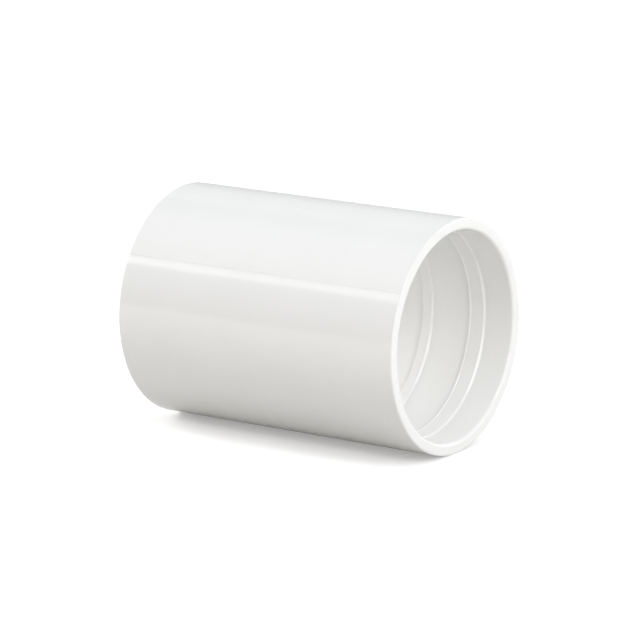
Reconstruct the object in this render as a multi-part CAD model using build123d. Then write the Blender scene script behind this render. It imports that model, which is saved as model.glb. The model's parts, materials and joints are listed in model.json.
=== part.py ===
from build123d import *
import os

# Straight pipe coupling: one injection-moulded tube with a socket at each end and a stop
# between them. The axis lies along X, the origin is at the middle of the axis, sizes are in mm.

# Driving dimensions
tube_radius = 25.4          # outside of the 2 inch thin-wall tube that each socket takes
tube_wall = 1.5             # wall of that tube, which the stop ring covers
rib_clearance = 0.05        # gap between the tube and the crest of each rib
wall_thickness = 2.95       # socket wall between the ribs
socket_depth = 38.6         # from the mouth to the stop
stop_width = 2.5            # length of the stop ring along the axis

# Ribs inside each socket. A rib climbs a short ramp to a flat crest, ends in a narrow grip lip
# that stands a little higher, and drops square to the wall behind it. Each is given as the
# distance from the mouth to its foot, the same to its drop, crest height and lip height.
outer_rib = (7.95, 12.5, 0.4, 0.15)
inner_rib = (23.05, 26.1, 0.4, 0.1)
rib_ramp = 0.5              # length of the ramp along the axis
lip_ramp = 0.3              # length of the slope from the crest up to the lip
lip_width = 0.3             # flat top of the lip

# Rounded edges
lip_radius = 0.8            # inside edge of each mouth, which leads the tube in
rim_radius = 0.5            # outside edge of each mouth
drop_radius = 0.1           # top edge of each lip's drop, and the edges of the stop

# Sizes worked out from those
crest_radius = tube_radius + rib_clearance
socket_radius = crest_radius + outer_rib[2]
outer_radius = socket_radius + wall_thickness
stop_radius = tube_radius - tube_wall
half_length = socket_depth + stop_width / 2


def half_bore_outline():
    """Corners of the bore from the middle out to the +X mouth, as (x, radius)."""
    outline = [(stop_width / 2, stop_radius), (stop_width / 2, socket_radius)]
    for foot_depth, drop_depth, crest_height, lip_height in (inner_rib, outer_rib):
        foot = half_length - foot_depth
        drop = half_length - drop_depth
        crest = socket_radius - crest_height
        lip = crest - lip_height
        outline += [
            (drop, socket_radius),
            (drop, lip),
            (drop + lip_width, lip),
            (drop + lip_width + lip_ramp, crest),
            (foot - rib_ramp, crest),
            (foot, socket_radius),
        ]
    outline.append((half_length, socket_radius))
    return outline


def corners_at(sketch, x_places, radius):
    """Sketch corners at any of the given distances from the middle and at one radius."""
    return [
        corner
        for corner in sketch.vertices()
        if abs(corner.Y - radius) < 1e-4
        and any(abs(abs(corner.X) - x) < 1e-4 for x in x_places)
    ]


def make_coupling_body():
    """The whole moulding, as one half section turned about the X axis."""
    right_bore = half_bore_outline()
    left_bore = [(-x, radius) for x, radius in reversed(right_bore)]
    outside = [(half_length, outer_radius), (-half_length, outer_radius)]

    with BuildPart() as body:
        with BuildSketch(Plane.XZ) as section:
            with BuildLine():
                Polyline(*left_bore, *right_bore, *outside, close=True)
            make_face()
            fillet(corners_at(section, [half_length], socket_radius), lip_radius)
            fillet(corners_at(section, [half_length], outer_radius), rim_radius)
            for foot_depth, drop_depth, crest_height, lip_height in (inner_rib, outer_rib):
                lip = socket_radius - crest_height - lip_height
                fillet(corners_at(section, [half_length - drop_depth], lip), drop_radius)
            fillet(corners_at(section, [stop_width / 2], stop_radius), drop_radius)
        revolve(axis=Axis.X)
    return body.part


coupling_body = make_coupling_body()
coupling_body.label = "coupling_body"

os.makedirs("parts", exist_ok=True)
export_step(coupling_body, "parts/coupling_body.step")

print("outer diameter", 2 * outer_radius, "length", 2 * half_length)
print("crest radius", crest_radius, "socket wall radius", socket_radius)
print("volume in cubic mm", round(coupling_body.volume))
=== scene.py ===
# %% [markdown]
# # A straight pipe coupling
# A coupling is a short plastic tube with a socket at each end. Two pipes are pushed in until they
# meet a stop ring in the middle. The real one is a single injection moulding, so this lesson makes a
# single piece: its cross-section is drawn once, turned round the axis, and then given the marks that
# the mould leaves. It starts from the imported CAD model, which settles every size.

# %% Load the CAD frame
import json
import math

import bmesh
import bpy
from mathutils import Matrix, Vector


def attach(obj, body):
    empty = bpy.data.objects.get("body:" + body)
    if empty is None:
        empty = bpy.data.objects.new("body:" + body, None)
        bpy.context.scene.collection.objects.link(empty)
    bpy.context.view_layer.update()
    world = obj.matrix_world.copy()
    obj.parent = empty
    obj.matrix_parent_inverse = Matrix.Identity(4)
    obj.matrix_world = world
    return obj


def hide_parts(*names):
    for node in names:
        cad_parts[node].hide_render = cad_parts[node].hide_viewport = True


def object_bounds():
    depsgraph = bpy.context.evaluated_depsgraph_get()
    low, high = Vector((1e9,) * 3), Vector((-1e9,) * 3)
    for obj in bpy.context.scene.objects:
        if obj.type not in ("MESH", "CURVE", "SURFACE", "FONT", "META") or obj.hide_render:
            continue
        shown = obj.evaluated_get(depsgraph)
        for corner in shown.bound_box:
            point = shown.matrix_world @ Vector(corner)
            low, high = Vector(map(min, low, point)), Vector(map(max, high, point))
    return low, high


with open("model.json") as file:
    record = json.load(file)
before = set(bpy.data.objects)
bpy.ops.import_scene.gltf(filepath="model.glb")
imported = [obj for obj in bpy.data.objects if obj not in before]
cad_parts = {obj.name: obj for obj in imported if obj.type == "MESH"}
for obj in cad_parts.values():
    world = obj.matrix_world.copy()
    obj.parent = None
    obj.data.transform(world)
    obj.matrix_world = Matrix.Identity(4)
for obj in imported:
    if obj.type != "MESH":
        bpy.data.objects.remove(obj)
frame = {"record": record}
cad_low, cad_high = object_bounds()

print("CAD box in mm", [round(1000 * size, 2) for size in cad_high - cad_low])

# %% [markdown]
# ## Sizes
# Blender works in metres and a moulding is drawn in millimetres, so one value converts. The length
# and the outside radius are read from the CAD box, and the radius of the ribs' flat crest from the
# socket's mount, so that the lesson follows the part if the part changes.

# %% Read the main sizes
MM = 0.001
half_length = cad_high.x
outer_radius = cad_high.z
sockets = {mount["name"]: mount for mount in frame["record"]["mounts"]}
crest_radius = sockets["right_socket"]["dims"]["r_mm"] * MM
crest_height = 0.4 * MM
socket_radius = crest_radius + crest_height
print("outer radius", round(outer_radius / MM, 2), "socket radius", round(socket_radius / MM, 2))

# %% [markdown]
# ## Helpers for edit mode
# An operator works on whatever is selected, so each step first clears the selection and then picks
# points by where they are. One helper does both. It takes a test on a point's place, and edges and
# faces follow when all their points are picked.

# %% Select points by their place
margin = MM / 50
fine_margin = MM / 100


def select_points(piece, test, mode="VERT"):
    """Select, in edit mode, just the points whose place passes the test."""
    bpy.ops.mesh.select_mode(type="VERT")
    bpy.ops.mesh.select_all(action="DESELECT")
    mesh = bmesh.from_edit_mesh(piece.data)
    for point in mesh.verts:
        point.select_set(bool(test(point.co)))
    mesh.select_flush(True)
    bmesh.update_edit_mesh(piece.data)
    bpy.ops.mesh.select_mode(type=mode)
    return sum(point.select for point in mesh.verts)


def close(a, b, tolerance=0.002 * MM):
    """True when two lengths agree to two thousandths of a millimetre."""
    return abs(a - b) < tolerance


# %% [markdown]
# ## The wall's cross-section
# Cut the coupling along its axis and the wall shows as a long thin strip. A plane of that size is
# the start. It could be drawn point by point, but cutting and extruding a plane is how a modeller
# works on screen, and it keeps each rib a step of its own.

# %% Start with a plane as long and as thick as the wall
bpy.ops.object.select_all(action="DESELECT")
bpy.ops.mesh.primitive_plane_add(
    size=1,
    location=(0, 0, (outer_radius + socket_radius) / 2),
    rotation=(math.radians(90), 0, 0),
)
coupling = bpy.context.object
coupling.name = "coupling_moulding"
coupling.scale = (2 * half_length, outer_radius - socket_radius, 1)
bpy.ops.object.transform_apply(location=True, rotation=True, scale=True)
print("wall strip in mm", [round(size / MM, 2) for size in coupling.dimensions])

# %% [markdown]
# ## Ribs and stop
# Two ribs stand inside each socket and grip the pipe, and a taller ring in the middle stops it. Each
# rib climbs a short ramp from the mouth's side, runs flat, rises once more to a narrow grip lip, and
# then drops square to the wall. All of them are stretches of the strip's lower edge that are pushed
# towards the axis, so the strip is first cut where they begin and end. Bisect makes the cuts, because
# it needs only a point and a direction.

# %% Cut the strip where ribs, lips and stop begin
stop_half_width = 1.25 * MM
stop_height = 1.95 * MM
rib_ramp = 0.5 * MM
lip_ramp = 0.3 * MM
lip_width = 0.3 * MM
# Each rib: depth of its foot, depth of its drop, height of its lip above the crest.
ribs = [
    (7.95 * MM, 12.5 * MM, 0.15 * MM),
    (23.05 * MM, 26.1 * MM, 0.1 * MM),
]

cuts = [stop_half_width]
for foot_depth, drop_depth, lip_height in ribs:
    drop = half_length - drop_depth
    cuts += [half_length - foot_depth, drop + lip_width + lip_ramp, drop]

bpy.ops.object.mode_set(mode="EDIT")
for x in cuts:
    for side in (1, -1):
        bpy.ops.mesh.select_all(action="SELECT")
        bpy.ops.mesh.bisect(plane_co=(side * x, 0, 0), plane_no=(1, 0, 0))
print("cuts", 2 * len(cuts))


# %% Push each stretch in towards the axis
def push_in(low, high, radius, height, ramp):
    """Extrude the edge at a radius between two cuts, and slope its +X end over a ramp.

    The same is done at the other end of the strip, mirrored.
    """
    for side in (1, -1):
        select_points(
            coupling,
            lambda p: close(p.z, radius) and low - margin < side * p.x < high + margin,
            mode="EDGE",
        )
        bpy.ops.mesh.extrude_region_move(TRANSFORM_OT_translate={"value": (0, 0, -height)})
        select_points(
            coupling, lambda p: close(side * p.x, high) and close(p.z, radius - height)
        )
        bpy.ops.transform.translate(value=(-side * ramp, 0, 0))


for foot_depth, drop_depth, lip_height in ribs:
    foot = half_length - foot_depth
    drop = half_length - drop_depth
    push_in(drop, foot, socket_radius, crest_height, rib_ramp)
    push_in(drop, drop + lip_width + lip_ramp, crest_radius, lip_height, lip_ramp)

select_points(
    coupling, lambda p: close(p.z, socket_radius) and abs(p.x) < stop_half_width + margin, "EDGE"
)
bpy.ops.mesh.extrude_region_move(TRANSFORM_OT_translate={"value": (0, 0, -stop_height)})

bpy.ops.mesh.select_all(action="SELECT")
bpy.ops.mesh.dissolve_limited(angle_limit=math.radians(1))
print("corners in the section", len(bmesh.from_edit_mesh(coupling.data).verts))

# %% [markdown]
# ## Rounded edges
# No moulded edge is quite sharp. The inside of each mouth has the largest rounding, because it
# leads the pipe in, and the rest only break the edge. On a flat section a corner is rounded by a
# bevel of its point, and the turned shape then has the rounding all the way round.

# %% Round the corners of the section
mouth_rounding = 0.8 * MM
rim_rounding = 0.5 * MM
drop_rounding = 0.1 * MM
mouth_segments = 8
rim_segments = 6
drop_segments = 4


def round_corners(test, radius, segments):
    """Bevel the corners that pass the test, as seen on the flat section."""
    count = select_points(coupling, test)
    bpy.ops.mesh.bevel(offset=radius, segments=segments, affect="VERTICES")
    return count


mouths = round_corners(
    lambda p: close(abs(p.x), half_length) and close(p.z, socket_radius),
    mouth_rounding,
    mouth_segments,
)
rims = round_corners(
    lambda p: close(abs(p.x), half_length) and close(p.z, outer_radius),
    rim_rounding,
    rim_segments,
)
drop_places = [stop_half_width] + [half_length - rib[1] for rib in ribs]
drops = round_corners(
    lambda p: p.z < socket_radius - crest_height and any(close(abs(p.x), x) for x in drop_places),
    drop_rounding,
    drop_segments,
)
print("rounded", mouths, "mouths,", rims, "rims and", drops, "square drops")

# %% [markdown]
# ## Turn the section round the axis
# The mould parts along a plane through the axis, and the outside shows that plane as two fine
# lines. The section is tilted onto it first, so that the turned mesh has a row of points exactly
# there. Spin then makes the solid. Only the outline is turned: the flat face would leave a wall
# across the inside. Merging the doubles closes the seam where the spin ends.

# %% Spin the outline
parting_angle = math.radians(58)
turns = 360

bpy.ops.object.mode_set(mode="OBJECT")
coupling.rotation_euler = (parting_angle, 0, 0)
bpy.ops.object.transform_apply(location=False, rotation=True, scale=False)

bpy.ops.object.mode_set(mode="EDIT")
bpy.ops.mesh.select_all(action="SELECT")
bpy.ops.mesh.delete(type="ONLY_FACE")
bpy.ops.mesh.select_all(action="SELECT")
bpy.ops.mesh.spin(steps=turns, angle=math.tau, center=(0, 0, 0), axis=(1, 0, 0))
bpy.ops.mesh.select_all(action="SELECT")
bpy.ops.mesh.remove_doubles(threshold=0.001 * MM)
bpy.ops.mesh.normals_make_consistent(inside=False)
print("faces after the spin", len(bmesh.from_edit_mesh(coupling.data).faces))


# %% [markdown]
# ## The sink band
# Plastic shrinks as it cools, and it shrinks more where the wall is thick. The stop ring makes the
# wall thick in the middle, so the outside is drawn in over it by a few hundredths of a millimetre.
# It is hardly felt, but it bends every reflection that crosses it. Rings are cut round the outside
# first, and each is then scaled towards the axis by its share of a smooth bell curve.

# %% Cut rings round the middle of the outside
sink_depth = 0.03 * MM
sink_reach = 1.3 * MM
sink_rings = 13


def from_axis(place):
    """Distance of a point from the X axis."""
    return math.hypot(place.y, place.z)


ring_places = [sink_reach * (2 * ring / (sink_rings - 1) - 1) for ring in range(sink_rings)]
for x in ring_places:
    select_points(coupling, lambda p: close(from_axis(p), outer_radius), mode="FACE")
    bpy.ops.mesh.bisect(plane_co=(x, 0, 0), plane_no=(1, 0, 0))
print("rings cut", len(ring_places))

# %% Scale the rings in
for x in ring_places:
    share = 0.5 + 0.5 * math.cos(math.pi * x / sink_reach)
    scale = 1 - share * sink_depth / outer_radius
    select_points(coupling, lambda p: close(p.x, x) and from_axis(p) > socket_radius + MM)
    bpy.ops.transform.resize(value=(1, scale, scale), center_override=(0, 0, 0))
print("sink band", 2 * sink_reach / MM, "mm wide and", sink_depth / MM, "mm deep")

# %% [markdown]
# ## The parting lines
# Where the two halves of the mould meet, a hair of plastic creeps into the gap and leaves a fine
# ridge along each side. The row of edges on the parting plane is bevelled into a narrow strip, and
# the strip's middle is lifted. Its edges are marked sharp, or smooth shading would hide the ridge.

# %% Raise a fine ridge along both parting lines
ridge_half_width = 0.16 * MM
ridge_height = 0.05 * MM
across_parting = Vector((0, math.cos(parting_angle), math.sin(parting_angle)))
along_parting = Vector((0, -math.sin(parting_angle), math.cos(parting_angle)))


def on_parting_line(place, reach):
    """True on the outside, within reach of a parting line."""
    outside = from_axis(place) > outer_radius - 2 * sink_depth
    return outside and abs(place.dot(across_parting)) < reach


select_points(coupling, lambda p: on_parting_line(p, fine_margin), mode="EDGE")
bpy.ops.mesh.bevel(offset=ridge_half_width, segments=2, affect="EDGES")
lift = 1 + ridge_height / outer_radius
select_points(coupling, lambda p: on_parting_line(p, fine_margin))
bpy.ops.transform.resize(value=(1, lift, lift), center_override=(0, 0, 0))
select_points(coupling, lambda p: on_parting_line(p, ridge_half_width + fine_margin), mode="EDGE")
bpy.ops.mesh.mark_sharp()
print("ridge", 2 * ridge_half_width / MM, "mm wide and", ridge_height / MM, "mm high")

# %% [markdown]
# ## The gate mark
# Molten plastic enters a mould through a small gate, usually on the parting line at mid-length. When
# the runner is snapped off it leaves a low pad. It is put on the parting line underneath, at the back.

# %% Leave a gate mark on the lower parting line
gate_half_length = 1.6 * MM
gate_half_width = 1.02 * MM
gate_height = 0.12 * MM


def on_gate(place):
    """True on the patch of the outside where the gate was."""
    lower_line = place.dot(along_parting) < 0
    at_middle = abs(place.x) < gate_half_length + margin
    return lower_line and at_middle and on_parting_line(place, gate_half_width)


gate_points = select_points(coupling, on_gate, mode="FACE")
bpy.ops.mesh.extrude_region_shrink_fatten(TRANSFORM_OT_shrink_fatten={"value": gate_height})
bpy.ops.object.mode_set(mode="OBJECT")
print("points lifted for the gate mark", gate_points)

# %% [markdown]
# ## Shading
# The turned walls are smooth and the rib corners are crisp, so edges flatter than 24 degrees are
# smoothed and steeper ones stay sharp. The outer ribs' grip lips rise at 27 degrees and stay crisp,
# and the inner ribs' lower lips, at 18 degrees, come out softer. A long wall beside a small rounding
# would still take on a false gradient, because each point averages its faces. Weighting the average
# by face area stops it.

# %% Smooth the shading
smooth_angle = math.radians(24)
bpy.ops.object.select_all(action="DESELECT")
coupling.select_set(True)
bpy.context.view_layer.objects.active = coupling
bpy.ops.object.shade_smooth_by_angle(angle=smooth_angle, keep_sharp_edges=True)
weighted = coupling.modifiers.new("area weighted normals", "WEIGHTED_NORMAL")
weighted.mode = "FACE_AREA"
weighted.weight = 100
weighted.keep_sharp = True
bpy.ops.object.modifier_apply(modifier=weighted.name)
print("triangles", sum(len(face.vertices) - 2 for face in coupling.data.polygons))

# %% [markdown]
# ## White PVC
# The moulding is a hard, slightly warm white with a gloss that comes from the polish of the mould.
# Three things keep it from looking like flat paint, and all are read from the piece's own Object
# coordinates. The tint drifts by about one percent. The gloss is uneven over a few millimetres, where
# the mould was polished by hand. In the bore, the steel cores were drawn out along the axis and left
# faint straight lines, so a second pattern is stretched along X and switched on only near the axis.

# %% Helpers for the material
noise_low = 0.35
noise_high = 0.65


def add_node(material, kind, **values):
    """Add a node and set its plain properties."""
    node = material.node_tree.nodes.new(kind)
    for name, value in values.items():
        setattr(node, name, value)
    return node


def noise(material, place, size, detail=2):
    """A noise pattern whose blobs are about the given size in metres."""
    node = add_node(material, "ShaderNodeTexNoise")
    node.inputs["Scale"].default_value = 1 / size
    node.inputs["Detail"].default_value = detail
    material.node_tree.links.new(place, node.inputs["Vector"])
    return node.outputs["Fac"]


def stretch(material, place, scale):
    """Coordinates scaled along each axis."""
    node = add_node(material, "ShaderNodeMapping")
    node.inputs["Scale"].default_value = scale
    material.node_tree.links.new(place, node.inputs["Vector"])
    return node.outputs["Vector"]


def math_node(material, operation, first, second):
    """A Math node whose two inputs are sockets or numbers."""
    node = add_node(material, "ShaderNodeMath", operation=operation)
    for socket, value in zip(node.inputs, (first, second)):
        if isinstance(value, bpy.types.NodeSocket):
            material.node_tree.links.new(value, socket)
        else:
            socket.default_value = value
    return node.outputs["Value"]


def spread(material, pattern, low, high):
    """The usual range of a noise pattern turned into low to high."""
    node = add_node(material, "ShaderNodeMapRange")
    node.inputs["From Min"].default_value = noise_low
    node.inputs["From Max"].default_value = noise_high
    node.inputs["To Min"].default_value = low
    node.inputs["To Max"].default_value = high
    material.node_tree.links.new(pattern, node.inputs["Value"])
    return node.outputs["Result"]


def new_material(name):
    """A material and its Principled shader."""
    material = bpy.data.materials.new(name)
    material.use_nodes = True
    return material, material.node_tree.nodes["Principled BSDF"]


# %% Make the PVC
tint_size = 14 * MM
polish_size = 5 * MM

pvc, pvc_shader = new_material("white_pvc")
link = pvc.node_tree.links.new
place = add_node(pvc, "ShaderNodeTexCoord").outputs["Object"]

tint = add_node(pvc, "ShaderNodeValToRGB")
tint.color_ramp.elements[0].position = noise_low
tint.color_ramp.elements[0].color = (0.855, 0.855, 0.844, 1)
tint.color_ramp.elements[1].position = noise_high
tint.color_ramp.elements[1].color = (0.865, 0.865, 0.855, 1)
link(noise(pvc, place, tint_size), tint.inputs["Fac"])
link(tint.outputs["Color"], pvc_shader.inputs["Base Color"])

polish = spread(pvc, noise(pvc, place, polish_size, detail=4), 0.1, 0.13)
link(polish, pvc_shader.inputs["Roughness"])
pvc_shader.inputs["IOR"].default_value = 1.53

# %% Add the mould's surface to the PVC
draw_line_width = 0.5 * MM
mould_skin_size = 1.6 * MM
relief_height = 0.0008 * MM

radius = add_node(pvc, "ShaderNodeVectorMath", operation="LENGTH")
link(stretch(pvc, place, (0, 1, 1)), radius.inputs[0])
in_bore = math_node(pvc, "LESS_THAN", radius.outputs["Value"], socket_radius + MM)
draw_lines = noise(pvc, stretch(pvc, place, (0.02, 1, 1)), draw_line_width)
bore_lines = math_node(pvc, "MULTIPLY", in_bore, draw_lines)
mould_skin = noise(pvc, place, mould_skin_size)
relief = math_node(pvc, "ADD", mould_skin, bore_lines)

bump = add_node(pvc, "ShaderNodeBump")
bump.inputs["Strength"].default_value = 1
bump.inputs["Distance"].default_value = relief_height
link(relief, bump.inputs["Height"])
link(bump.outputs["Normal"], pvc_shader.inputs["Normal"])
coupling.data.materials.append(pvc)
print("PVC nodes", len(pvc.node_tree.nodes))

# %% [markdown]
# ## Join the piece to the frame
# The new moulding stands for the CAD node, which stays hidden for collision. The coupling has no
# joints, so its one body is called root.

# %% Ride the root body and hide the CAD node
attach(coupling, "root")
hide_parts("coupling_body")

# %% [markdown]
# ## The floor
# The coupling lies on a white table. White paper right under a white part throws back so much light
# that its underside loses its shape, and a photographer uses a duller surface there. Both can be had
# at once: the floor is white where it is seen, and duller and warmer for the light that it bounces.
# It also glows a little, as a light table does, so that the shadow on it stays faint. The Light Path
# node gives the glow to what the camera sees and to what the gloss of the plastic mirrors, and leaves
# the plastic's matt shading alone. A real floor can't do this: it is a studio trick for the render.

# %% Lay the floor
floor_width = 3.6
glow_to_camera = 0.3
glow_to_gloss = 0.12
seen_colour = (0.85, 0.85, 0.85, 1)
bounce_colour = (0.60, 0.585, 0.56, 1)

bpy.ops.object.select_all(action="DESELECT")
bpy.ops.mesh.primitive_plane_add(size=floor_width, location=(0, 0, cad_low.z))
floor = bpy.context.object
floor.name = "floor"
bpy.ops.object.transform_apply(location=True, rotation=False, scale=False)

table, table_shader = new_material("white_table")
table_shader.inputs["Roughness"].default_value = 0.7
table_shader.inputs["Specular IOR Level"].default_value = 0
light_path = add_node(table, "ShaderNodeLightPath")
surface = add_node(table, "ShaderNodeValToRGB")
surface.color_ramp.elements[0].color = seen_colour
surface.color_ramp.elements[1].color = bounce_colour
table_link = table.node_tree.links.new
table_link(light_path.outputs["Is Diffuse Ray"], surface.inputs["Fac"])
table_link(surface.outputs["Color"], table_shader.inputs["Base Color"])
direct = math_node(table, "MULTIPLY", light_path.outputs["Is Camera Ray"], glow_to_camera)
mirrored = math_node(table, "MULTIPLY", light_path.outputs["Is Glossy Ray"], glow_to_gloss)
glow = math_node(table, "ADD", direct, mirrored)
table_link(glow, table_shader.inputs["Emission Strength"])
table_shader.inputs["Emission Color"].default_value = (1, 1, 1, 1)
floor.data.materials.append(table)
print("floor height in mm", round(cad_low.z / MM, 2))

# %% [markdown]
# ## Soft light
# A glossy white tube shows its shape by what it reflects. Long softboxes hang over the left half, and
# the bright strip at their front makes the sharp step of light along the upper side. Tall cards to the
# left and right look into the bore from both ends. The ramps of the near ribs face the mouth, so the
# right-hand cards draw them as bright lines. Dimmer cards behind keep the back in shape too. A
# softbox's power grows with its area, so each is described by how bright its face is. The strengths
# were first fitted to trial renders of one softbox at a time, and then rounded and adjusted.

# %% Hang the softboxes
cool = (0.92, 0.96, 1)
white = (1, 0.985, 0.98)
warm = (1, 0.9, 0.7)
softboxes = [
    # name, centre, aim, width, height, brightness, colour
    ("overhead_edge", (-1.0, -0.98, 0.9), (-1.0, -0.98, 0), 2.0, 0.24, 2.2, cool),
    ("overhead_front", (-1.0, -0.53, 0.9), (-1.0, -0.53, 0), 2.0, 0.66, 0.5, cool),
    ("overhead_middle", (-1.0, 0.0, 0.9), (-1.0, 0.0, 0), 2.0, 0.4, 0.3, cool),
    ("overhead_back", (-1.0, 0.9, 0.9), (-1.0, 0.9, 0), 2.0, 0.6, 0.4, cool),
    ("overhead_right", (0.8, -0.35, 0.9), (0.8, -0.35, 0), 1.6, 0.3, 3.1, cool),
    ("overhead_right_back", (0.8, 0.5, 0.9), (0.8, 0.5, 0), 1.6, 1.4, 0.7, cool),
    ("left_front_card", (-1.6, -0.75, 0.72), (0, -0.75, 0.72), 1.5, 1.47, 4.0, white),
    ("left_back_card", (-1.6, 0.75, 0.72), (0, 0.75, 0.72), 1.5, 1.47, 3.3, white),
    ("right_front_low", (1.6, -0.75, 0.22), (0, -0.75, 0.22), 1.5, 0.47, 2.5, white),
    ("right_front_high", (1.6, -0.75, 0.95), (0, -0.75, 0.95), 1.5, 1.0, 3.55, white),
    ("right_back_high", (1.6, 0.75, 0.95), (0, 0.75, 0.95), 1.5, 1.0, 1.3, cool),
    ("front_low", (0.8, -2.0, 0.22), (0.8, 0, 0.22), 1.6, 0.47, 1.2, warm),
    ("back_left_card", (-1.0, 2.0, 0.72), (-1.0, 0, 0.72), 2.0, 1.47, 0.5, white),
    ("back_right_card", (1.0, 2.0, 0.72), (1.0, 0, 0.72), 2.0, 1.47, 1.6, white),
]


def hang_softbox(name, centre, aim, width, height, brightness, colour):
    """A rectangular area light that faces its aim."""
    light = bpy.data.lights.new(name, "AREA")
    light.shape = "RECTANGLE"
    light.size = width
    light.size_y = height
    light.energy = brightness * math.pi * width * height
    light.color = colour
    lamp = bpy.data.objects.new(name, light)
    bpy.context.scene.collection.objects.link(lamp)
    lamp.location = centre
    facing = Vector(aim) - Vector(centre)
    lamp.rotation_euler = facing.to_track_quat("-Z", "Y").to_euler()


for softbox in softboxes:
    hang_softbox(*softbox)
print("softboxes", len(softboxes))

# %% [markdown]
# ## The backdrop
# Beyond the floor is the world, a pale grey. It would light the coupling evenly from all sides and
# flatten it, so only the camera sees it. The Standard view keeps white as white.

# %% Set the backdrop
world = bpy.data.worlds.new("studio")
world.use_nodes = True
background = world.node_tree.nodes["Background"]
background.inputs["Color"].default_value = (0.95, 0.95, 0.95, 1)
view_ray = world.node_tree.nodes.new("ShaderNodeLightPath").outputs["Is Camera Ray"]
world.node_tree.links.new(view_ray, background.inputs["Strength"])
bpy.context.scene.world = world
bpy.context.scene.view_settings.view_transform = "Standard"
print("world", world.name, "view", bpy.context.scene.view_settings.view_transform)

# %% [markdown]
# ## The camera
# A long lens from nearly a metre away keeps the tube's sides almost parallel. The camera stands beside
# the tube, 34 degrees round towards the mouth, and looks slightly down.

# %% Place the camera
azimuth = math.radians(34.22)
elevation = math.radians(12.98)
camera_distance = 0.925
camera_aim = Vector((0.2, 0, -0.9)) * MM
sensor_width = 36
focal_length = 212.6

towards_camera = Vector(
    (
        math.sin(azimuth) * math.cos(elevation),
        -math.cos(azimuth) * math.cos(elevation),
        math.sin(elevation),
    )
)
lens = bpy.data.cameras.new("camera")
lens.sensor_width = sensor_width
lens.lens = focal_length
camera = bpy.data.objects.new("camera", lens)
bpy.context.scene.collection.objects.link(camera)
camera.location = camera_aim + towards_camera * camera_distance
camera.rotation_euler = (-towards_camera).to_track_quat("-Z", "Y").to_euler()
bpy.context.scene.camera = camera
print("camera at", [round(value, 3) for value in camera.location])
